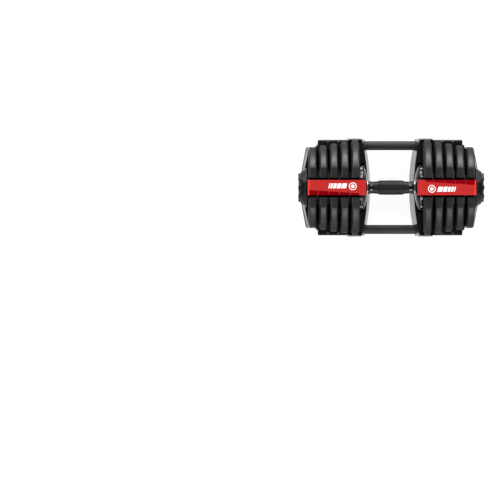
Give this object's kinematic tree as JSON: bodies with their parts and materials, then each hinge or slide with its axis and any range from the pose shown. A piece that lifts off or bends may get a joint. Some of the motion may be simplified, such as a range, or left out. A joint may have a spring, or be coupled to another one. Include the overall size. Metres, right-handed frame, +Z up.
{
  "type": "adjustable dumbbell",
  "caption": "Adjustable dumbbell with selector dials and stacked weight plates, standing in a two-tray cradle joined by round rails.",
  "frame": {"origin": "centre of the bounding box, at the bottom of the cradle's feet", "axes": "+X along the handle, +Y across it towards the rear rail, +Z up"},
  "size_m": [0.444, 0.238, 0.2306],
  "materials": {
    "plate_paint": "satin",
    "tray_plastic": "satin",
    "rail_paint": "satin",
    "grip_rubber": "matt",
    "steel": "brushed",
    "plated_steel": "satin",
    "red_plastic": "gloss",
    "black_plastic": "satin",
    "foot_rubber": "matt"
  },
  "bodies": {
    "cradle": {"rail_front": "rail_paint", "rail_rear": "rail_paint", "tray_left": "tray_plastic", "tray_cover_left": "tray_plastic", "foot_inner_left": "foot_rubber", "foot_outer_left": "foot_rubber", "release_post_left": "plated_steel", "tray_right": "tray_plastic", "tray_cover_right": "tray_plastic", "foot_inner_right": "foot_rubber", "foot_outer_right": "foot_rubber", "release_post_right": "plated_steel"},
    "handle": {"handle_tube": "steel", "grip": "grip_rubber", "coupling_ring_left": "black_plastic", "hub_dome_left": "black_plastic", "cover_spine_left": "plated_steel", "top_cover_left": "red_plastic", "end_plate_left": "plated_steel", "axle_bolt_left": "plated_steel", "lock_spring_left": "steel", "coupling_ring_right": "black_plastic", "hub_dome_right": "black_plastic", "cover_spine_right": "plated_steel", "top_cover_right": "red_plastic", "end_plate_right": "plated_steel", "axle_bolt_right": "plated_steel", "lock_spring_right": "steel"},
    "selector_left": {"selector_sleeve_left": "plated_steel", "number_ring_left": "black_plastic", "dial_left": "black_plastic", "dial_cap_left": "black_plastic", "selector_disc_1_left": "plated_steel", "selector_disc_2_left": "plated_steel", "selector_disc_3_left": "plated_steel", "selector_disc_4_left": "plated_steel", "selector_disc_5_left": "plated_steel"},
    "lock_left": {"lock_tab_left": "plated_steel"},
    "plate_1_left": {"weight_plate_1_left": "plate_paint"},
    "plate_2_left": {"weight_plate_2_left": "plate_paint"},
    "plate_3_left": {"weight_plate_3_left": "plate_paint"},
    "plate_4_left": {"weight_plate_4_left": "plate_paint"},
    "plate_5_left": {"weight_plate_5_left": "plate_paint"},
    "selector_right": {"selector_sleeve_right": "plated_steel", "number_ring_right": "black_plastic", "dial_right": "black_plastic", "dial_cap_right": "black_plastic", "selector_disc_1_right": "plated_steel", "selector_disc_2_right": "plated_steel", "selector_disc_3_right": "plated_steel", "selector_disc_4_right": "plated_steel", "selector_disc_5_right": "plated_steel"},
    "lock_right": {"lock_tab_right": "plated_steel"},
    "plate_1_right": {"weight_plate_1_right": "plate_paint"},
    "plate_2_right": {"weight_plate_2_right": "plate_paint"},
    "plate_3_right": {"weight_plate_3_right": "plate_paint"},
    "plate_4_right": {"weight_plate_4_right": "plate_paint"},
    "plate_5_right": {"weight_plate_5_right": "plate_paint"}
  },
  "joints": [
    {"name": "handle_lift", "type": "slide", "parent": "cradle", "child": "handle", "axis": [0, 0, 1], "range_m": [0, 0.26]},
    {"name": "dial_turn_left", "type": "hinge", "parent": "handle", "child": "selector_left", "pos_m": [-0.2, 0, 0.122], "axis": [1, 0, 0], "range_deg": [0, 330]},
    {"name": "lock_slide_left", "type": "slide", "parent": "handle", "child": "lock_left", "axis": [0, 0, -1], "range_m": [0, 0.006], "deforming": ["lock_spring_left"]},
    {"name": "plate_1_left_lift", "type": "slide", "parent": "cradle", "child": "plate_1_left", "axis": [0, 0, 1], "range_m": [0, 0.26]},
    {"name": "plate_2_left_lift", "type": "slide", "parent": "cradle", "child": "plate_2_left", "axis": [0, 0, 1], "range_m": [0, 0.26]},
    {"name": "plate_3_left_lift", "type": "slide", "parent": "cradle", "child": "plate_3_left", "axis": [0, 0, 1], "range_m": [0, 0.26]},
    {"name": "plate_4_left_lift", "type": "slide", "parent": "cradle", "child": "plate_4_left", "axis": [0, 0, 1], "range_m": [0, 0.26]},
    {"name": "plate_5_left_lift", "type": "slide", "parent": "cradle", "child": "plate_5_left", "axis": [0, 0, 1], "range_m": [0, 0.26]},
    {"name": "dial_turn_right", "type": "hinge", "parent": "handle", "child": "selector_right", "pos_m": [0.2, 0, 0.122], "axis": [-1, 0, 0], "range_deg": [0, 330]},
    {"name": "lock_slide_right", "type": "slide", "parent": "handle", "child": "lock_right", "axis": [0, 0, -1], "range_m": [0, 0.006], "deforming": ["lock_spring_right"]},
    {"name": "plate_1_right_lift", "type": "slide", "parent": "cradle", "child": "plate_1_right", "axis": [0, 0, 1], "range_m": [0, 0.26]},
    {"name": "plate_2_right_lift", "type": "slide", "parent": "cradle", "child": "plate_2_right", "axis": [0, 0, 1], "range_m": [0, 0.26]},
    {"name": "plate_3_right_lift", "type": "slide", "parent": "cradle", "child": "plate_3_right", "axis": [0, 0, 1], "range_m": [0, 0.26]},
    {"name": "plate_4_right_lift", "type": "slide", "parent": "cradle", "child": "plate_4_right", "axis": [0, 0, 1], "range_m": [0, 0.26]},
    {"name": "plate_5_right_lift", "type": "slide", "parent": "cradle", "child": "plate_5_right", "axis": [0, 0, 1], "range_m": [0, 0.26]}
  ],
  "couplings": [
    {"joint": "lock_slide_left", "follows": "handle_lift", "ratio": 0.023077},
    {"joint": "plate_1_left_lift", "follows": "handle_lift", "ratio": 1},
    {"joint": "plate_2_left_lift", "follows": "handle_lift", "ratio": 1},
    {"joint": "plate_3_left_lift", "follows": "handle_lift", "ratio": 1},
    {"joint": "plate_4_left_lift", "follows": "handle_lift", "ratio": 1},
    {"joint": "plate_5_left_lift", "follows": "handle_lift", "ratio": 1},
    {"joint": "lock_slide_right", "follows": "handle_lift", "ratio": 0.023077},
    {"joint": "plate_1_right_lift", "follows": "handle_lift", "ratio": 1},
    {"joint": "plate_2_right_lift", "follows": "handle_lift", "ratio": 1},
    {"joint": "plate_3_right_lift", "follows": "handle_lift", "ratio": 1},
    {"joint": "plate_4_right_lift", "follows": "handle_lift", "ratio": 1},
    {"joint": "plate_5_right_lift", "follows": "handle_lift", "ratio": 1}
  ]
}
